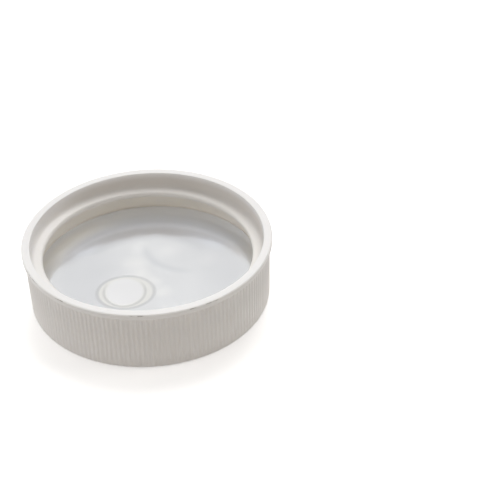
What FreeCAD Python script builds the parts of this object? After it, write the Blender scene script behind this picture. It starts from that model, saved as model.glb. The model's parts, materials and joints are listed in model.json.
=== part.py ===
"""A ribbed screw cap with an induction liner in it. It stands on its panel with its mouth up.

The origin is the centre of the panel's outer face, +Z points out of the mouth, lengths are in mm.
"""
import FreeCAD
import Part
from math import cos, pi, radians, sin
import os

Vector = FreeCAD.Vector

# the cap's outside
cap_diameter = 40.4  # over the bead at the rim
cap_height = 11.2
bead_height = 1.1
bead_stand = 0.4  # how far the bead stands out past the ribs
bead_step = 0.1  # the flat under the bead, where the ribs end
bead_bevel = 0.35
rim_bevel = 0.12
skirt_draft = 0.35  # how much the ribs lean in between the bead and the panel
panel_edge_radius = 0.9
panel_edge_turn = radians(36)  # the round part of the panel's edge, before it runs out straight

# the grip ribs
rib_pitch = 0.763
rib_depth = 0.28
rib_crest_width = 0.25
rib_root_width = 0.22
trim_stock = 0.05  # what the edge's outline leaves outside the ribs

# the cap's inside
rim_width = 1.4  # the flat of the rim, from the bead to the bore
panel_thickness = 2.4
pocket_step = 0.3  # how much narrower the liner's pocket is than the mouth

# the gate's mark in the middle of the panel's outer face
gate_well_diameter = 2.2
gate_well_depth = 0.35
gate_nub_diameter = 0.8
gate_nub_height = 0.2

# the thread, one right-hand ridge that fades into the wall at both ends
thread_drop = 1.95  # from the rim to where the ridge leaves the wall, half way round
thread_height = 1.7
thread_lead = 1.2
thread_shoulder = 0.55  # how far the ridge slopes out of the wall before it turns level
thread_shoulder_drop = 0.6
thread_crest_bevel = 0.4
thread_crest_flat = 0.3
thread_foot = 1.1  # the slope on the panel's side, along the axis
thread_turn = radians(325)
thread_middle = radians(90)
thread_fade = radians(28)
thread_root = 0.3  # how deep the ridge is set into the wall
thread_sunk = 0.1  # how deep its crest lies in the wall at its two ends
thread_sections = 40

# the liner
board_thickness = 2.25
foil_thickness = 0.15
liner_clearance = 0.05  # from the liner's edge to the pocket's wall

# the ring pressed into the foil
ring_x = -4.0
ring_y = -5.4
ring_diameter = 9.3
ring_width = 0.95
ring_height = 0.12

cap_radius = cap_diameter / 2
bead_low = cap_height - bead_height
mouth_radius = cap_radius - rim_width
pocket_radius = mouth_radius - pocket_step
liner_radius = pocket_radius - liner_clearance
crest_radius_high = cap_radius - bead_stand
crest_radius_low = crest_radius_high - skirt_draft
board_top = panel_thickness + board_thickness
thread_top = cap_height - thread_drop
thread_climb = thread_lead * thread_turn / (4 * pi)  # from the ridge's middle to its higher end
thread_width = thread_shoulder_drop + thread_crest_bevel + thread_crest_flat + thread_foot


def on_circle(radius, angle, z):
    return Vector(radius * cos(angle), radius * sin(angle), z)


def lines(points):
    """Straight edges through points given as (radius, z) in the XZ plane."""
    corners = [Vector(r, 0, z) for r, z in points]
    return [Part.makeLine(a, b) for a, b in zip(corners, corners[1:])]


def arc(start, middle, end):
    """A round edge through three points given as (radius, z) in the XZ plane."""
    return Part.Arc(*[Vector(r, 0, z) for r, z in (start, middle, end)]).toShape()


def turned(edges, centre=Vector(0, 0, 0)):
    """The solid that a closed outline sweeps about the axis through centre."""
    face = Part.Face(Part.Wire(edges))
    face.translate(centre)
    return face.revolve(centre, Vector(0, 0, 1), 360)


def rib_outline(crest_radius, z):
    """The corners of the ribbed section: a flat crest, a flank, a flat root and a flank for each rib."""
    count = round(2 * pi * (crest_radius_high - rib_depth / 2) / rib_pitch)
    crest = rib_crest_width / rib_pitch / 2
    root = rib_root_width / rib_pitch / 2
    root_radius = crest_radius * (1 - rib_depth / crest_radius_high)
    corners = []
    for rib in range(count):
        for share, radius in (
            (-crest, crest_radius),
            (crest, crest_radius),
            (0.5 - root, root_radius),
            (0.5 + root, root_radius),
        ):
            corners.append(on_circle(radius, 2 * pi * (rib + share) / count, z))
    return corners


def ribbed_skirt():
    """A solid plug with the ribs on its side, leaning in towards the panel."""
    low = rib_outline(crest_radius_low, 0)
    high = rib_outline(crest_radius_high, bead_low)
    faces = [Part.Face(Part.makePolygon(ring + ring[:1])) for ring in (low, high)]
    for k in range(len(low)):
        corners = [low[k - 1], low[k], high[k], high[k - 1], low[k - 1]]
        faces.append(Part.Face(Part.makePolygon(corners)))
    return Part.Solid(Part.Shell(faces))


def panel_edge():
    """The outline that rounds the panel's edge and lets the ribs fade out there."""
    low = crest_radius_low + trim_stock
    high = crest_radius_high + trim_stock
    flat = low - panel_edge_radius

    def round_at(angle):
        return flat + panel_edge_radius * sin(angle), panel_edge_radius * (1 - cos(angle))

    turn_end = round_at(panel_edge_turn)
    outline = lines([(0, bead_low), (0, 0), (flat, 0)])
    outline.append(arc((flat, 0), round_at(panel_edge_turn / 2), turn_end))
    outline += lines([turn_end, (low, panel_edge_radius), (high, bead_low), (0, bead_low)])
    return turned(outline)


def rim_bead():
    """The plain bead round the rim, bevelled above the ribs and at the top."""
    return turned(
        lines(
            [
                (0, cap_height),
                (0, bead_low),
                (crest_radius_high + bead_step, bead_low),
                (cap_radius, bead_low + bead_bevel),
                (cap_radius, cap_height - rim_bevel),
                (cap_radius - rim_bevel, cap_height),
                (0, cap_height),
            ]
        )
    )


def inside():
    """What is hollow: the liner's pocket, a taper hidden by the thread, and the mouth."""
    taper_low = thread_top - thread_width + thread_climb
    taper_high = thread_top + thread_climb
    above = cap_height + bead_height
    return turned(
        lines(
            [
                (0, panel_thickness),
                (pocket_radius, panel_thickness),
                (pocket_radius, taper_low),
                (mouth_radius, taper_high),
                (mouth_radius, above),
                (0, above),
                (0, panel_thickness),
            ]
        )
    )


def gate_well():
    """The small round well that the gate leaves in the panel, with a nub on its floor."""
    well = gate_well_diameter / 2
    nub = gate_nub_diameter / 2
    nub_end = gate_well_depth - gate_nub_height
    below = -gate_well_depth
    return turned(
        lines(
            [
                (0, below),
                (well, below),
                (well, gate_well_depth),
                (nub, gate_well_depth),
                (nub, nub_end),
                (0, nub_end),
                (0, below),
            ]
        )
    )


def thread_section(angle):
    """The ridge's outline in the half plane at this angle, lower towards its ends."""
    turn = angle - thread_middle
    to_end = (thread_turn / 2 - abs(turn)) / thread_fade
    fade = 0.5 - 0.5 * cos(pi * min(to_end, 1))
    height = thread_height * fade - thread_sunk * (1 - fade)
    share = height / thread_height
    top = thread_top + thread_lead * turn / (2 * pi)
    level = top - thread_shoulder_drop
    crest_top = level - thread_crest_bevel
    crest_low = crest_top - thread_crest_flat
    root_rise = thread_root * thread_shoulder_drop / thread_shoulder
    corners = [
        (-thread_root, top + root_rise),
        (thread_shoulder * share, level),
        ((thread_height - thread_crest_bevel) * share, level),
        (height, crest_top),
        (height, crest_low),
        (-thread_root, crest_low - thread_foot),
    ]
    return Part.makePolygon([on_circle(mouth_radius - out, angle, z) for out, z in corners + corners[:1]])


def thread_ridge():
    start = thread_middle - thread_turn / 2
    step = thread_turn / (thread_sections - 1)
    sections = [thread_section(start + k * step) for k in range(thread_sections)]
    return Part.makeLoft(sections, True, False)


def cap_shell():
    skirt = ribbed_skirt().common(panel_edge())
    shell = skirt.fuse(rim_bead()).cut(inside())
    return shell.cut(gate_well()).fuse(thread_ridge())


def backing_board():
    return Part.makeCylinder(liner_radius, board_thickness, Vector(0, 0, panel_thickness))


def foil_seal():
    """The foil disc with a low ridge in a ring, off the middle."""
    disc = Part.makeCylinder(liner_radius, foil_thickness, Vector(0, 0, board_top))
    outer = ring_diameter / 2
    inner = outer - ring_width
    middle = (outer + inner) / 2
    half = foil_thickness / 2
    crest = foil_thickness + ring_height
    outline = lines([(inner, half), (middle, crest), (outer, half), (inner, half)])
    return disc.fuse(turned(outline, Vector(ring_x, ring_y, board_top)))


os.makedirs("parts", exist_ok=True)
for name, shape in (
    ("cap_shell", cap_shell()),
    ("backing_board", backing_board()),
    ("foil_seal", foil_seal()),
):
    print(name, shape.isValid(), len(shape.Solids), len(shape.Faces), round(shape.Volume, 2))
    shape.exportStep("parts/" + name + ".step")
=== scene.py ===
"""The looks of a ribbed screw cap with an induction liner in it, lying on its panel with its mouth up.

Lengths are in millimetres in the cap's own frame: the origin is the centre of the panel's outer face and +Z
points out of the mouth. The meshes and the modifiers' inputs are turned into metres where they are made.
"""
import json
from math import cos, pi, radians, sin, sqrt

import bmesh
import bpy
from mathutils import Matrix, Vector, noise

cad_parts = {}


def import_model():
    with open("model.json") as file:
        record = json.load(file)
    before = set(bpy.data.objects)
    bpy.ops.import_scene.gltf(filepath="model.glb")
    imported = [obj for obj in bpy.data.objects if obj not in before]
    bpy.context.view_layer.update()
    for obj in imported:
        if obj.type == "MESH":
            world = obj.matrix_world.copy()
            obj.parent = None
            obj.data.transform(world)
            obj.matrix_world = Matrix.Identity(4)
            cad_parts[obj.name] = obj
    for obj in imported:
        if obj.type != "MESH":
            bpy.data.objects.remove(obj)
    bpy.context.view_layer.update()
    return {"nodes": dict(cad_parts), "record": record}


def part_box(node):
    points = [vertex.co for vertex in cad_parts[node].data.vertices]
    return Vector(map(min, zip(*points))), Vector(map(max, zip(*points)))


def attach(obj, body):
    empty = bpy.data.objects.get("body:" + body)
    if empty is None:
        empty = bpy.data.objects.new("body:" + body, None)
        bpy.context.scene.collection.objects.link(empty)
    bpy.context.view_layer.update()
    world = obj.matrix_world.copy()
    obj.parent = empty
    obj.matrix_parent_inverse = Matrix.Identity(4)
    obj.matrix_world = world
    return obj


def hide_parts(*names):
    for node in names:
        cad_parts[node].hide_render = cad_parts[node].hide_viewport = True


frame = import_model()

mm = 0.001

# what the frame gives
shell_low, shell_high = [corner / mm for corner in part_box("cap_shell")]
board_low, board_high = [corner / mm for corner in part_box("backing_board")]
mouth = next(mount for mount in frame["record"]["mounts"] if mount["name"] == "mouth_thread")
cap_radius = min(shell_high.x, shell_high.y, -shell_low.x, -shell_low.y)
cap_height = shell_high.z
mouth_radius = mouth["dims"]["r_mm"]
liner_radius = board_high.x
panel_thickness = board_low.z

# the cap's outside
bead_height = 1.1
bead_step = 0.1  # how far the flat under the bead stands out past the ribs
bead_stand = 0.4  # how far the bead stands out past the ribs
bead_round = 0.35  # the round above the ribs
rim_round = 0.2
rim_inset = 0.1  # how far the rim's flat lies from the rounds beside it
lip_round = (0.12, 0.5)  # the oval round between the rim and the bore, across and down
skirt_draft = 0.35  # how much the ribs lean in from the bead to the panel
panel_edge = 0.9  # the round at the panel's edge
edge_stock = 0.05  # how far that round runs out past the ribs
bead_low = cap_height - bead_height
crest_radius = cap_radius - bead_stand
panel_flat = crest_radius - skirt_draft + edge_stock - panel_edge

# the grip ribs
ribs = 162
rib_depth = 0.13
rib_faint = 0.3  # the share of that depth where the ribs end
rib_columns = 8  # the columns of faces across one rib
edge_rows = 12  # the rows of faces round the panel's edge
side_rows = 6  # the rows from there up to the bead
rib_blend = 0.06  # how softly the ribs meet the panel's edge
rib_end = 0.5  # where the ribs start to stand out, and where they are full
rib_full = 2.2
bead_lap = 0.02  # how far inside the bead's flat the ribbed part ends
sewing = 0.004  # points nearer than this are made one

# the gate's mark: a well in the panel's outer face, with a nub in it
gate_radius = 1.1
gate_depth = 0.35
gate_round = 0.08
gate_bevel = 0.03  # at the well's floor
nub_radius = 0.4
nub_height = 0.2
nub_end = ((0.05, 0.04), (0.12, 0.0))  # the nub's rounded end, as (in from its side, short of its end)

# the thread's ridge, given half way round, as (how far out of the wall, how far below the rim)
thread_lead = 1.2
thread_turn = radians(325)
thread_middle = radians(90)
thread_fade = radians(28)
thread_high = (0.0, 1.7)
thread_hollow = (0.8, 2.5)
thread_shelf = (1.2, 2.66)
thread_crest = (1.7, 3.1)
thread_under = (1.25, 3.7)
thread_low = (0.0, 4.6)
thread_bends = (  # from one point to another, drawn towards the one between them, in so many steps
    (thread_high, (0.08, 2.42), thread_hollow, 9),
    (thread_hollow, thread_hollow, thread_shelf, 1),
    (thread_shelf, (1.7, 2.66), thread_crest, 7),
    (thread_crest, (1.68, 3.45), thread_under, 6),
    (thread_under, (0.15, 4.35), thread_low, 7),
)
pocket_step = 0.3  # how much narrower the liner's pocket is than the mouth
pocket_radius = mouth_radius - pocket_step
foot_round = 0.3  # the small round where the wall meets the liner

# how many columns of faces go round
fine_columns = ribs * rib_columns
columns = fine_columns // 4
gate_columns = columns // 9
sharp_angle = radians(50)  # edges sharper than this stay sharp

# the liner's face
foil_thickness = 0.15
foil_low = board_high.z
foil_top = foil_low + foil_thickness
foil_radius = liner_radius + 0.056  # up to the wall of its pocket
foil_grid = 220  # the faces along each of its sides
foil_calm = 1.5  # how far from its edge the foil is free to stand up
ring_middle = (-4.03, -5.42)  # the ring pressed into the foil, a little oval
ring_size = (4.6, 4.32)
disc_middle = (-4.2, -5.25)  # the disc inside the ring
disc_size = (3.35, 3.9)
disc_rise = 0.012
line_depth = 0.008  # the lines pressed round the ring and the disc
line_width = 0.5
crease_middle = (6.9, 6.5)  # the circle that the crease follows
crease_radius = 7.3
crease_width = 1.3
crease_rise = 0.02
crease_heart = (1.5, 4.0)  # where the crease is highest
crease_spread = (8.0, 9.0)
streak_middle = (0.3, -1.7)  # the circle that the painted streak of reflected light follows
streak_radius = 17.2
foil_waves = ((6.0, 0.3, 0.04), (2.4, 1.7, 0.006))  # as (length, place in the noise, height)
painted_highlight_spots = (  # painted highlights: lightened spots for bright reflections, as (x, y, width, share)
    (-1.2, 6.4, 3.0, 0.4),
    (-2.2, 2.2, 3.4, 0.7),
    (-1.4, -0.6, 2.4, 0.7),
    (-0.4, -2.0, 2.2, 0.4),
    (0.6, -3.2, 2.2, 0.6),
    (1.8, -6.0, 2.4, 0.6),
    (3.2, 5.0, 3.2, 0.35),
    (10.2, 1.8, 3.2, 0.3),
)
dents = (  # the soft dents in the foil, as (x, y, width, how high)
    (-1.6, 4.4, 3.6, -0.04),
    (0.0, 8.6, 3.0, -0.02),
    (5.8, 3.4, 4.8, 0.04),
    (9.8, 3.6, 4.0, -0.03),
    (-9.0, 2.0, 4.0, 0.02),
)

# the shell's colours
# painted light: the glow of light through the thin wall, inside under the ridge
painted_glow_ivory = (0.99, 0.937, 0.86, 1.0)
# painted shade on the bore
bore_painted_shade = (0.76, 0.737, 0.707, 1.0)
# painted shade on the outside: the skirt at its foot and at its top, and the bead
skirt_low_painted_shade = (0.865, 0.845, 0.82, 1.0)
skirt_high_painted_shade = (0.705, 0.69, 0.67, 1.0)
bead_painted_shade = (0.73, 0.72, 0.705, 1.0)
wear_grey = (0.25, 0.23, 0.22, 1.0)
# the worn spots round the rim, as (middle, half width) in degrees
wear_marks = ((-157, 8), (-135, 3), (-97, 4), (-72, 2), (-63, 4))

# the foil's colours: its own two tones and a bluer tint, and painted highlights, painted shade and painted
# reflections
foil_dark = (0.83, 0.84, 0.855, 1.0)
foil_light = (0.88, 0.89, 0.9, 1.0)
# painted highlight
painted_highlight_white = (0.98, 0.98, 0.97, 1.0)
# painted darker reflection
painted_dim_reflection = (0.74, 0.75, 0.775, 1.0)
foil_far_tint = (0.87, 0.905, 0.975, 1.0)
# painted shade along the crease
painted_crease_shade = (0.68, 0.7, 0.73, 1.0)
painted_moat_reflection = (0.91, 0.905, 0.87, 1.0)  # painted yellowish reflection, between the ring's line and the disc
# painted highlight on the disc
painted_disc_highlight = (0.95, 0.95, 0.955, 1.0)
# painted shade in the pressed lines
painted_line_shade = (0.55, 0.55, 0.55, 1.0)
painted_streak_reflection = (1.0, 1.0, 0.99, 1.0)  # painted reflection: the pale streak

# the board's colours
board_dark = (0.66, 0.63, 0.56, 1.0)
board_light = (0.78, 0.76, 0.7, 1.0)
board_cloud = (0.72, 0.68, 0.6, 1.0)

# the photograph's frame and view
view_pixels = 500
focal_pixels = 2000
sensor_width = 36
camera_distance = 328.6
camera_rise = radians(37.018)
camera_pan = radians(-2.922)
camera_tilt = radians(1.023)
camera_roll = radians(4.624)
floor_reach = 1500


class Term:
    """A socket that sums are written with. Each operator adds a Math node to its tree."""

    def __init__(self, graph, socket):
        self.graph = graph
        self.socket = socket

    def __add__(self, other):
        return self.graph.maths("ADD", self, other)

    def __radd__(self, other):
        return self.graph.maths("ADD", other, self)

    def __sub__(self, other):
        return self.graph.maths("SUBTRACT", self, other)

    def __rsub__(self, other):
        return self.graph.maths("SUBTRACT", other, self)

    def __mul__(self, other):
        return self.graph.maths("MULTIPLY", self, other)

    def __rmul__(self, other):
        return self.graph.maths("MULTIPLY", other, self)

    def __truediv__(self, other):
        return self.graph.maths("DIVIDE", self, other)


class Graph:
    """A node tree that is filled by calls and written sums."""

    def __init__(self, tree):
        self.tree = tree

    def node(self, kind, settings=None, inputs=None):
        """Adds a node, sets it up, then fills or links its sockets, which go by identifier or by name."""
        made = self.tree.nodes.new(kind)
        for key, value in (settings or {}).items():
            setattr(made, key, value)
        for key, value in (inputs or {}).items():
            socket = next(s for s in made.inputs if key in (s.identifier, s.name))
            if isinstance(value, Term):
                self.tree.links.new(value.socket, socket)
            else:
                socket.default_value = value
        return made

    def term(self, kind, settings=None, inputs=None, output=None):
        """The same, and gives one output of the node: the first, or the one of that identifier."""
        made = self.node(kind, settings, inputs)
        return self.output(made, output)

    def output(self, made, key=None):
        if key is None:
            return Term(self, made.outputs[0])
        return Term(self, next(s for s in made.outputs if key in (s.identifier, s.name)))

    def maths(self, operation, *values):
        slots = ("Value", "Value_001", "Value_002")
        return self.term("ShaderNodeMath", {"operation": operation}, dict(zip(slots, values)))

    def vector(self, x, y, z):
        return self.term("ShaderNodeCombineXYZ", None, {"X": x, "Y": y, "Z": z})

    def between(self, value, low, high):
        """0 below low, 1 above high and a soft step between them; low may be the greater one."""
        inputs = {"Value": value, "From Min": low, "From Max": high}
        return self.term("ShaderNodeMapRange", {"interpolation_type": "SMOOTHSTEP"}, inputs)

    def within(self, value, low, high):
        """The same, with low and high in millimetres."""
        return self.between(value, low * mm, high * mm)

    def mix(self, one, other, share):
        """A colour between two."""
        inputs = {"A_Color": one, "B_Color": other, "Factor_Float": share}
        return self.term("ShaderNodeMix", {"data_type": "RGBA"}, inputs, "Result_Color")

    def grain(self, place, scale, detail=2.0, roughness=0.5):
        """A noise of that many grains to the metre."""
        inputs = {"Vector": place, "Scale": scale, "Detail": detail, "Roughness": roughness}
        return self.term("ShaderNodeTexNoise", None, inputs, "Fac")


class Surface(Graph):
    """A material on a Principled shader, with the place on the piece in metres and its parts at hand."""

    def __init__(self, name):
        material = bpy.data.materials.new(name)
        material.use_nodes = True
        super().__init__(material.node_tree)
        self.material = material
        self.tree.nodes.clear()
        self.place = self.term("ShaderNodeTexCoord", output="Object")
        parts = self.node("ShaderNodeSeparateXYZ", None, {"Vector": self.place})
        self.x, self.y, self.z = [Term(self, socket) for socket in parts.outputs]

    def bump(self, height, strength, distance):
        inputs = {"Height": height, "Strength": strength, "Distance": distance}
        return self.term("ShaderNodeBump", None, inputs)

    def finish(self, **inputs):
        """Ends in a Principled shader; the names of its sockets are written with _ for a space."""
        named = {key.replace("_", " "): value for key, value in inputs.items()}
        shader = self.term("ShaderNodeBsdfPrincipled", None, named)
        self.node("ShaderNodeOutputMaterial", None, {"Surface": shader})
        return self.material


def grey(level, warmth=0.0):
    """A colour from a level between 0 and 1, warmer or cooler by a small share."""
    return (level * (1 + warmth), level, level * (1 - warmth), 1.0)


def oval(look, middle, size=(1, 1)):
    """How far a place is from an oval's middle, on the scale of the oval's second half width."""
    across = (look.x - middle[0] * mm) * (size[1] / size[0])
    along = look.y - middle[1] * mm
    return look.maths("SQRT", across * across + along * along)


def shell_plastic():
    """White moulded polypropylene: satin and a little see-through, with painted light and shade: a painted
    glow inside under the ridge, and painted shade on the bore, the ribs and the bead.
    """
    look = Surface("shell_plastic")
    radius = oval(look, (0, 0))
    clouds = look.grain(look.place, 90, 3)
    colour = look.mix(grey(0.88, 0.012), grey(0.91, 0.01), clouds)
    # painted glow inside, from the liner up to the ridge: brighter and yellower, standing in for light
    # through the thin wall
    inner = look.within(radius, 19.0, 18.7) * look.within(look.z, 10.2, 6.0)
    inner = inner * look.within(radius, 16.0, 17.0) * look.within(look.z, 3.0, 4.5)
    colour = look.mix(colour, painted_glow_ivory, inner)
    # painted shade on the bore above the ridge, but not at the left, where it is lit
    bore = look.within(radius, 19.1, 18.9) * look.within(look.z, 8.0, 8.8)
    bore = bore * look.within(look.x, -17.5, -8.5) * look.within(look.z, 11.15, 9.9)
    colour = look.mix(colour, bore_painted_shade, bore)
    # painted shade on the ribs and the bead: greyer than the plastic and darker upwards, with painted
    # bounce light making the foot lighter
    outside = look.within(radius, 19.3, 19.5) * look.within(look.z, 11.1, 10.95)
    skirt = look.mix(skirt_low_painted_shade, skirt_high_painted_shade, look.within(look.z, 0.5, 8.0))
    skirt = look.mix(skirt, bead_painted_shade, look.within(look.z, 9.9, 10.3))
    colour = look.mix(colour, skirt, outside)
    # the worn spots at the bead's upper edge
    angle = look.maths("ARCTAN2", look.y, look.x)
    at_rim = look.within(look.z, 10.92, 11.0) * look.within(look.z, 11.12, 11.06)
    at_rim = at_rim * look.within(radius, 19.6, 19.8)
    scratches = look.grain(look.vector((angle + 0.022) * 20.2 * mm, look.z * 6.0, 0.0), 1100, 2, 0.6)
    worn = look.between(scratches, 0.44, 0.54) * at_rim
    marks = 0.0
    for middle, half in wear_marks:
        away = look.maths("ABSOLUTE", angle - radians(middle))
        marks = marks + look.between(away, radians(half), radians(half) * 0.6)
    colour = look.mix(colour, wear_grey, worn * marks * 0.85)
    fine = look.grain(look.place, 5200, 2)
    wave = look.grain(look.place, 320, 2)
    return look.finish(
        Base_Color=colour,
        Roughness=0.32 + 0.1 * clouds,
        Normal=look.bump(fine * 0.5 + wave, 0.25, 0.02 * mm),
        IOR=1.49,
        Subsurface_Weight=0.3,
        Subsurface_Radius=(1.0, 0.97, 0.9),
        Subsurface_Scale=1.2 * mm,
    )


def liner_foil():
    """Aluminium foil under a heat-seal film: a cool, blurred mirror with a ring pressed into it, and
    painted highlights, shade and reflections on it.
    """
    look = Surface("liner_foil")
    rolling = look.grain(look.vector(look.x, look.y * 12.0, look.z), 260, 2)
    clouds = look.grain(look.place, 130, 3)
    speck = look.grain(look.place, 2600, 2)
    colour = look.mix(foil_dark, foil_light, clouds)
    # painted highlights: lighter spots where bright reflections fall
    for x, y, width, share in painted_highlight_spots:
        colour = look.mix(colour, painted_highlight_white, look.within(oval(look, (x, y)), width, 0.0) * share)
    # painted darker reflection behind the middle and at both sides
    reach = oval(look, (0, 0))
    dimmed = look.within(reach, 8.0, 10.5) * look.within(reach, 15.5, 12.5)
    dimmed = dimmed * look.within(look.y, 2.0, 7.0) * 0.8
    sides = look.within(look.maths("ABSOLUTE", look.x - 1.5 * mm), 5.0, 11.0) * 0.5
    dimmed = look.maths("MAXIMUM", dimmed, sides * look.within(reach, 17.0, 13.0))
    colour = look.mix(colour, painted_dim_reflection, dimmed)
    # paler and bluer at the far side
    far_tint = look.within(reach, 10.0, 13.5) * look.within(look.y, 3.0, 8.0)
    colour = look.mix(colour, foil_far_tint, far_tint * 0.85)
    # painted shade along the crease
    away = look.maths("ABSOLUTE", oval(look, crease_middle) - crease_radius * mm)
    crease = look.within(away, crease_width, 0.0) * look.within(look.x, 7.5, 4.0)
    crease = crease * look.within(look.y, 8.0, 5.0)
    colour = look.mix(colour, painted_crease_shade, crease * 0.4)
    # painted reflections on the ring and the disc inside it, and painted shade in the lines round both
    outer = oval(look, ring_middle, ring_size)
    inner = oval(look, disc_middle, disc_size)
    colour = look.mix(colour, painted_moat_reflection, look.within(outer, ring_size[1], ring_size[1] - 0.4) * 0.8)
    colour = look.mix(colour, painted_disc_highlight, look.within(inner, disc_size[1], disc_size[1] - 0.9))
    outer_line = look.within(look.maths("ABSOLUTE", outer - ring_size[1] * mm), 0.5, 0.05)
    inner_line = look.within(look.maths("ABSOLUTE", inner - disc_size[1] * mm), 0.45, 0.05)
    inner_line = inner_line * look.within(look.y, -2.0, -5.5)
    lines = look.maths("MAXIMUM", outer_line, inner_line) * (0.25 + 0.35 * clouds)
    colour = look.mix(colour, painted_line_shade, lines)
    # painted reflection: a pale streak at the left, with less metal and more roughness along it
    away = look.maths("ABSOLUTE", oval(look, streak_middle) - streak_radius * mm)
    turn = look.maths("ABSOLUTE", look.maths("ARCTAN2", look.y, look.x) - radians(141))
    streak = look.within(away, 2.1, 0.2) * look.between(turn, radians(38), radians(10))
    streak = streak * (0.7 + 0.3 * clouds)
    colour = look.mix(colour, painted_streak_reflection, streak)
    return look.finish(
        Base_Color=colour,
        Metallic=0.86 - 0.07 * streak,
        Roughness=0.1 + 0.05 * clouds + 0.03 * speck + 0.08 * streak,
        Normal=look.bump(rolling * 0.4 + clouds, 0.1, 0.05 * mm),
        Coat_Weight=0.2,
        Coat_Roughness=0.15,
    )


def liner_board():
    """Pressed pulp board: matt, grey and fibrous."""
    look = Surface("liner_board")
    fibre = look.grain(look.vector(look.x, look.y, look.z * 6.0), 1800, 4, 0.65)
    clouds = look.grain(look.place, 200, 3)
    colour = look.mix(board_dark, board_light, fibre)
    colour = look.mix(colour, board_cloud, clouds * 0.5)
    normal = look.bump(fibre, 0.5, 0.05 * mm)
    return look.finish(Base_Color=colour, Roughness=0.85 + 0.1 * fibre, Normal=normal)


def white_floor():
    """A pale floor that is seen as white and still takes the cap's shadow."""
    material = bpy.data.materials.new("white_floor")
    material.use_nodes = True
    look = Graph(material.node_tree)
    look.tree.nodes.clear()
    path = look.node("ShaderNodeLightPath")
    seen = look.maths("MAXIMUM", look.output(path, "Is Camera Ray"), look.output(path, "Is Glossy Ray"))
    seen = look.maths("MAXIMUM", seen, look.output(path, "Is Transmission Ray"))
    paint = look.term("ShaderNodeBsdfDiffuse", None, {"Color": grey(0.92, 0.015)})
    glow = look.term("ShaderNodeEmission", None, {"Color": grey(1.0), "Strength": seen * 0.45})
    both = look.node("ShaderNodeAddShader")
    look.tree.links.new(paint.socket, both.inputs[0])
    look.tree.links.new(glow.socket, both.inputs[1])
    look.node("ShaderNodeOutputMaterial", None, {"Surface": look.output(both)})
    return material


def link(name, mesh):
    thing = bpy.data.objects.new(name, mesh)
    bpy.context.scene.collection.objects.link(thing)
    return thing


def piece(name, points, faces, material):
    """A piece from points in millimetres."""
    mesh = bpy.data.meshes.new(name)
    mesh.from_pydata([Vector(point) * mm for point in points], [], faces)
    mesh.materials.append(material)
    return link(name, mesh)


def made_plain(thing):
    """Turns what the modifiers make into the piece's own mesh and takes the modifiers off."""
    bpy.context.view_layer.update()
    seen = thing.evaluated_get(bpy.context.evaluated_depsgraph_get())
    mesh = bpy.data.meshes.new_from_object(seen)
    thing.modifiers.clear()
    thing.data = mesh


def smoothed(thing):
    """Points the faces outwards and shades them smooth, except at sharp edges."""
    shape = bmesh.new()
    shape.from_mesh(thing.data)
    bmesh.ops.recalc_face_normals(shape, faces=shape.faces)
    for face in shape.faces:
        face.smooth = True
    shape.to_mesh(thing.data)
    shape.free()
    thing.data.set_sharp_from_angle(angle=sharp_angle)


def circle(radius, z, count):
    return [(radius * cos(2 * pi * k / count), radius * sin(2 * pi * k / count), z) for k in range(count)]


def round_corner(centre, size, start, end, steps):
    """Points as (radius, z) on a round or an oval; the angle is 0 outwards and 90 degrees upwards."""
    turns = [radians(start + (end - start) * k / steps) for k in range(steps + 1)]
    return [(centre[0] + size[0] * cos(turn), centre[1] + size[1] * sin(turn)) for turn in turns]


def bent(start, pull, end, steps):
    """Points on a bend from start to end, drawn towards pull, without the first one."""
    points = []
    for k in range(1, steps + 1):
        t = k / steps
        shares = ((1 - t) ** 2, 2 * t * (1 - t), t * t)
        parts = list(zip(shares, (start, pull, end)))
        points.append(tuple(sum(share * point[axis] for share, point in parts) for axis in (0, 1)))
    return points


class Skin:
    """A surface laid ring by ring. A ring may have a whole number of times the points of the next one."""

    def __init__(self):
        self.points = []
        self.faces = []
        self.last = []

    def ring(self, points):
        first = len(self.points)
        self.points += points
        new = list(range(first, first + len(points)))
        if self.last:
            self.join(self.last, new)
        self.last = new

    def join(self, one, other):
        coarse, fine = sorted((one, other), key=len)
        ratio = len(fine) // len(coarse)
        for k, point in enumerate(coarse):
            beside = coarse[(k + 1) % len(coarse)]
            across = [fine[(k * ratio + j) % len(fine)] for j in range(ratio, -1, -1)]
            self.faces.append([point, beside] + across)

    def cap(self, z):
        """Closes the last ring with a fan to a point on the axis."""
        self.points.append((0, 0, z))
        tip = len(self.points) - 1
        for k, point in enumerate(self.last):
            self.faces.append([point, self.last[(k + 1) % len(self.last)], tip])


def thread_outline():
    """The ridge's outline half way round, as (out of the wall, below the rim)."""
    points = [thread_high]
    for start, pull, end, steps in thread_bends:
        points += bent(start, pull, end, steps)
    return points


def thread_ring(out, drop):
    """One ring of the wall: the wall leans in a little and the ridge climbs, and fades at its two ends."""
    ring = []
    wall = mouth_radius - pocket_step * (drop - thread_high[1]) / (thread_low[1] - thread_high[1])
    for k in range(columns):
        angle = 2 * pi * k / columns
        turn = (angle - thread_middle + pi) % (2 * pi) - pi
        to_end = (thread_turn / 2 - abs(turn)) / thread_fade
        share = 0.5 - 0.5 * cos(pi * min(max(to_end, 0), 1))
        climb = thread_lead * turn / (2 * pi)
        if abs(turn) > thread_turn / 2:
            climb *= (pi - abs(turn)) / (pi - thread_turn / 2)
        radius = wall - out * share
        ring.append((radius * cos(angle), radius * sin(angle), cap_height - drop + climb))
    return ring


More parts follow.
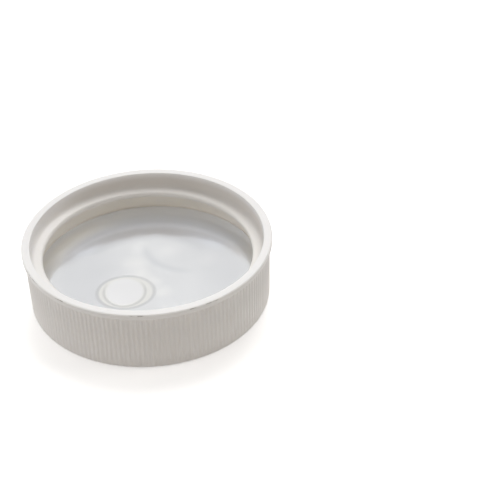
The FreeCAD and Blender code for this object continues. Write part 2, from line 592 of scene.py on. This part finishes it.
def shell_skin():
    """The shell without its ribs: from under the bead over the rim and down inside, and the outer face."""
    skin = Skin()
    ledge = crest_radius + bead_step
    skin.ring(circle(ledge - bead_lap, bead_low, fine_columns))
    bead = (bead_stand - bead_step, bead_round)
    rim = (cap_radius - rim_round, cap_height - rim_round)
    lip = (mouth_radius + lip_round[0], cap_height - lip_round[1])
    outline = [(ledge, bead_low)]
    outline += round_corner((ledge, bead_low + bead_round), bead, -84, 0, 6)
    outline += round_corner(rim, (rim_round, rim_round), 0, 90, 6)
    outline += [(rim[0] - rim_inset, cap_height), (lip[0] + rim_inset, cap_height)]
    outline += round_corner(lip, lip_round, 90, 180, 8)
    for radius, z in outline:
        skin.ring(circle(radius, z, columns))
    for out, drop in thread_outline():
        skin.ring(thread_ring(out, drop))
    foot = (pocket_radius - foot_round, foil_top + foot_round)
    pocket = round_corner(foot, (foot_round, foot_round), 0, -80, 5)
    pocket += [(pocket_radius, foil_low), (pocket_radius, panel_thickness)]
    pocket += [(pocket_radius / 2, panel_thickness)]
    for radius, z in pocket:
        skin.ring(circle(radius, z, columns))
    skin.cap(panel_thickness)
    skin.last = []
    skin.ring(circle(panel_flat, 0, fine_columns))
    for radius in (panel_flat - 0.2, panel_flat / 2, gate_radius + 1):
        skin.ring(circle(radius, 0, columns))
    skin.ring(circle(gate_radius + 0.5, 0, gate_columns))
    end = gate_depth - nub_height
    well = round_corner((gate_radius + gate_round, gate_round), (gate_round, gate_round), 270, 180, 4)
    well += [(gate_radius, gate_depth - gate_bevel), (gate_radius - gate_bevel, gate_depth)]
    well += [(nub_radius, gate_depth)] + [(nub_radius - inwards, end + short) for inwards, short in nub_end]
    for radius, z in well:
        skin.ring(circle(radius, z, gate_columns))
    skin.cap(end)
    return skin


def ribs_tree(material):
    """Adds the ribbed side to a shell: the strip of one rib, repeated round the axis."""
    tree = bpy.data.node_groups.new("grip_ribs", "GeometryNodeTree")
    sizes = {
        "Ribs": ("NodeSocketInt", ribs),
        "Rib depth": ("NodeSocketFloat", rib_depth * mm),
        "Crest radius": ("NodeSocketFloat", crest_radius * mm),
        "Draft": ("NodeSocketFloat", skirt_draft * mm),
        "Skirt height": ("NodeSocketFloat", bead_low * mm),
        "Panel edge": ("NodeSocketFloat", panel_edge * mm),
        "Flat radius": ("NodeSocketFloat", panel_flat * mm),
        "Bead step": ("NodeSocketFloat", bead_step * mm),
    }
    tree.interface.new_socket("Shell", in_out="INPUT", socket_type="NodeSocketGeometry")
    sockets = {}
    for name, (kind, value) in sizes.items():
        sockets[name] = tree.interface.new_socket(name, in_out="INPUT", socket_type=kind)
    tree.interface.new_socket("Shell", in_out="OUTPUT", socket_type="NodeSocketGeometry")
    graph = Graph(tree)
    given = graph.node("NodeGroupInput")
    size = {name: graph.output(given, name) for name in list(sizes) + ["Shell"]}
    count = size["Ribs"]
    height = size["Skirt height"]
    edge = size["Panel edge"]

    rows = edge_rows + side_rows + 2
    grid = {"Size X": 1.0, "Size Y": 1.0, "Vertices X": rib_columns + 1, "Vertices Y": rows}
    strip = graph.term("GeometryNodeMeshGrid", None, grid, "Mesh")
    corner = graph.node("ShaderNodeSeparateXYZ", None, {"Vector": graph.term("GeometryNodeInputPosition")})
    across = graph.output(corner, "X") + 0.5
    row = (graph.output(corner, "Y") + 0.5) * (rows - 1)
    turn = graph.maths("MINIMUM", row / edge_rows, 1.0) * (pi / 2)
    straight = graph.maths("MINIMUM", graph.maths("MAXIMUM", row - edge_rows, 0.0) / side_rows, 1.0)
    ledge = graph.maths("MAXIMUM", row - (edge_rows + side_rows), 0.0)
    z = edge * (1 - graph.maths("COSINE", turn)) + straight * straight * straight * (height - edge)
    lean = size["Draft"] * (1 - z / height)
    crest = size["Crest radius"] - lean
    wave = 0.5 - 0.5 * graph.maths("COSINE", across * (2 * pi))
    full = graph.between(z, rib_end * mm, rib_full * mm)
    rib = crest - size["Rib depth"] * wave * (rib_faint + (1 - rib_faint) * full)
    round_edge = size["Flat radius"] + edge * graph.maths("SINE", turn) + size["Draft"] * z / height
    side = graph.maths("SMOOTH_MIN", round_edge, rib, rib_blend * mm)
    flat_end = graph.maths("MINIMUM", row, 1.0)
    side = flat_end * side + (1 - flat_end) * size["Flat radius"]
    radius = side + ledge * (size["Crest radius"] + size["Bead step"] - bead_lap * mm - side)
    angle = across * (2 * pi) / count
    place = graph.vector(radius * graph.maths("COSINE", angle), radius * graph.maths("SINE", angle), z)
    strip = graph.term("GeometryNodeSetPosition", None, {"Geometry": strip, "Position": place})

    points = graph.term("GeometryNodePoints", None, {"Count": count})
    spin = graph.vector(0.0, 0.0, graph.term("GeometryNodeInputIndex") * (2 * pi) / count)
    inputs = {"Points": points, "Instance": strip, "Rotation": spin}
    copies = graph.term("GeometryNodeInstanceOnPoints", None, inputs)
    copies = graph.term("GeometryNodeRealizeInstances", None, {"Geometry": copies})
    joined = graph.node("GeometryNodeJoinGeometry")
    for part in (copies, size["Shell"]):
        tree.links.new(part.socket, joined.inputs[0])
    inputs = {"Geometry": graph.output(joined), "Distance": sewing * mm}
    sewn = graph.term("GeometryNodeMergeByDistance", None, inputs)
    coated = graph.term("GeometryNodeSetMaterial", None, {"Geometry": sewn, "Material": material})
    graph.node("NodeGroupOutput", None, {"Shell": coated})
    return tree, {sockets[name].identifier: value for name, (kind, value) in sizes.items()}


def plastic_shell():
    material = shell_plastic()
    skin = shell_skin()
    shell = piece("plastic_shell", skin.points, skin.faces, material)
    tree, sizes = ribs_tree(material)
    modifier = shell.modifiers.new("grip ribs", "NODES")
    modifier.node_group = tree
    for identifier, value in sizes.items():
        modifier[identifier] = value
    made_plain(shell)
    smoothed(shell)
    return shell


def bell(distance, width):
    """A smooth hump, 1 at distance 0 and nothing past the width."""
    share = min(abs(distance) / width, 1)
    return (1 - share * share) ** 2


def share_of(x, y, middle, size):
    """How far a place is from an oval's middle: 1 is on the oval."""
    return sqrt(((x - middle[0]) / size[0]) ** 2 + ((y - middle[1]) / size[1]) ** 2)


def foil_height(x, y):
    """How far the foil's face stands above its flat: the pressed ring, a crease, dents and soft waves."""
    outer = share_of(x, y, ring_middle, ring_size)
    inner = share_of(x, y, disc_middle, disc_size)
    height = -line_depth * bell((outer - 1) * ring_size[1], line_width)
    height -= line_depth * bell((inner - 1) * disc_size[1], line_width)
    if inner < 1:
        height += disc_rise * (1 - inner ** 4)
    for middle_x, middle_y, width, deep in dents:
        height += deep * bell(sqrt((x - middle_x) ** 2 + (y - middle_y) ** 2), width)
    away = sqrt((x - crease_middle[0]) ** 2 + (y - crease_middle[1]) ** 2) - crease_radius
    crease = crease_rise * bell(away, crease_width) * bell(x - crease_heart[0], crease_spread[0])
    height += crease * bell(y - crease_heart[1], crease_spread[1])
    for length, place, high in foil_waves:
        height += noise.noise(Vector((x / length, y / length, place))) * high
    edge = min(max((foil_radius - sqrt(x * x + y * y)) / foil_calm, 0), 1)
    return height * edge * edge * (3 - 2 * edge)


def foil_face():
    """The foil: a grid drawn out to a disc, dented, with its edge turned down to the board."""
    points = []
    for row in range(foil_grid + 1):
        for column in range(foil_grid + 1):
            u = 2 * column / foil_grid - 1
            v = 2 * row / foil_grid - 1
            x = foil_radius * u * sqrt(1 - v * v / 2)
            y = foil_radius * v * sqrt(1 - u * u / 2)
            points.append((x, y, foil_top + foil_height(x, y)))
    side = foil_grid + 1
    faces = []
    for row in range(foil_grid):
        for column in range(foil_grid):
            k = row * side + column
            faces.append([k, k + 1, k + side + 1, k + side])
    edge = list(range(side)) + [row * side + foil_grid for row in range(1, side)]
    edge += [foil_grid * side + column for column in range(foil_grid - 1, -1, -1)]
    edge += [row * side for row in range(foil_grid - 1, 0, -1)]
    first = len(points)
    points += [(points[k][0], points[k][1], foil_low) for k in edge]
    below = list(range(first, first + len(edge)))
    for k in range(len(edge)):
        beside = (k + 1) % len(edge)
        faces.append([edge[k], edge[beside], below[beside], below[k]])
    points.append((0, 0, foil_low))
    for k in range(len(edge)):
        faces.append([below[k], below[(k + 1) % len(edge)], len(points) - 1])
    foil = piece("foil_face", points, faces, liner_foil())
    smoothed(foil)
    return foil


def camera():
    """The photograph's view: a long lens from the front and above, turned a little off the cap."""
    middle = Vector((0, -cos(camera_rise), sin(camera_rise))) * camera_distance
    ahead = -middle.normalized()
    right = Vector((1, 0, 0))
    up = right.cross(ahead)
    pan = Matrix.Rotation(camera_pan, 3, up)
    right, ahead = pan @ right, pan @ ahead
    tilt = Matrix.Rotation(camera_tilt, 3, right)
    ahead, up = tilt @ ahead, tilt @ up
    roll = Matrix.Rotation(camera_roll, 3, ahead)
    right, up = roll @ right, roll @ up
    data = bpy.data.cameras.new("camera")
    data.sensor_width = sensor_width
    data.lens = sensor_width * focal_pixels / view_pixels
    data.clip_start = 0.01
    thing = link("camera", data)
    turned = Matrix((right, up, -ahead)).transposed().to_4x4()
    thing.matrix_world = Matrix.Translation(middle * mm) @ turned
    bpy.context.scene.camera = thing


def lamp(name, place, size, power, target=(0, 0, 0)):
    """A soft square lamp, its place and size in millimetres, that points at the target."""
    data = bpy.data.lights.new(name, "AREA")
    data.shape = "SQUARE"
    data.size = size * mm
    data.energy = power
    thing = link(name, data)
    place = Vector(place) * mm
    thing.location = place
    thing.rotation_euler = (Vector(target) * mm - place).to_track_quat("-Z", "Y").to_euler()


def world():
    """Even pale light from all round, stronger from above."""
    made = bpy.data.worlds.new("pale_room")
    made.use_nodes = True
    graph = Graph(made.node_tree)
    graph.tree.nodes.clear()
    direction = graph.term("ShaderNodeTexCoord", output="Generated")
    parts = graph.node("ShaderNodeSeparateXYZ", None, {"Vector": direction})
    x, y, z = [Term(graph, socket) for socket in parts.outputs]
    # behind the cap and beside it, brighter at the left
    back = graph.mix(grey(0.82), grey(1.0), graph.between(x, 0.2, -0.2))
    left = graph.mix(grey(0.3), grey(0.95), graph.between(x, 0.2, -0.6))
    round_about = graph.mix(left, back, graph.between(y, 0.1, 0.7))
    # overhead, at the right and in front, which is darker higher up
    above = graph.mix(round_about, grey(0.52), graph.between(z, 0.4, 0.95))
    right = graph.mix(above, grey(0.18, 0.1), graph.between(x, 0.3, 0.8))
    front = graph.mix(grey(0.52, 0.09), grey(0.13, 0.09), graph.between(z, 0.2, 0.75))
    colour = graph.mix(right, front, graph.between(y, 0.0, -0.75))
    sky = graph.term("ShaderNodeBackground", None, {"Color": colour, "Strength": 1.0})
    graph.node("ShaderNodeOutputWorld", None, {"Surface": sky})
    bpy.context.scene.world = made


def stage():
    """The floor, the room's light and two lamps."""
    signs = ((-1, -1), (1, -1), (1, 1), (-1, 1))
    corners = [(x * floor_reach, y * floor_reach, 0) for x, y in signs]
    floor = piece("floor", corners, [(0, 1, 2, 3)], white_floor())
    world()
    lamp("overhead", (150, 640, 1120), 600, 7.0)
    lamp("side", (640, -60, 800), 300, 1.1)
    bpy.context.scene.view_settings.view_transform = "Standard"


camera()
stage()

shell = plastic_shell()
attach(shell, "root")
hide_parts("cap_shell")

foil = foil_face()
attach(foil, "root")
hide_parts("foil_seal")

board = frame["nodes"]["backing_board"]
board.data.materials.clear()
board.data.materials.append(liner_board())
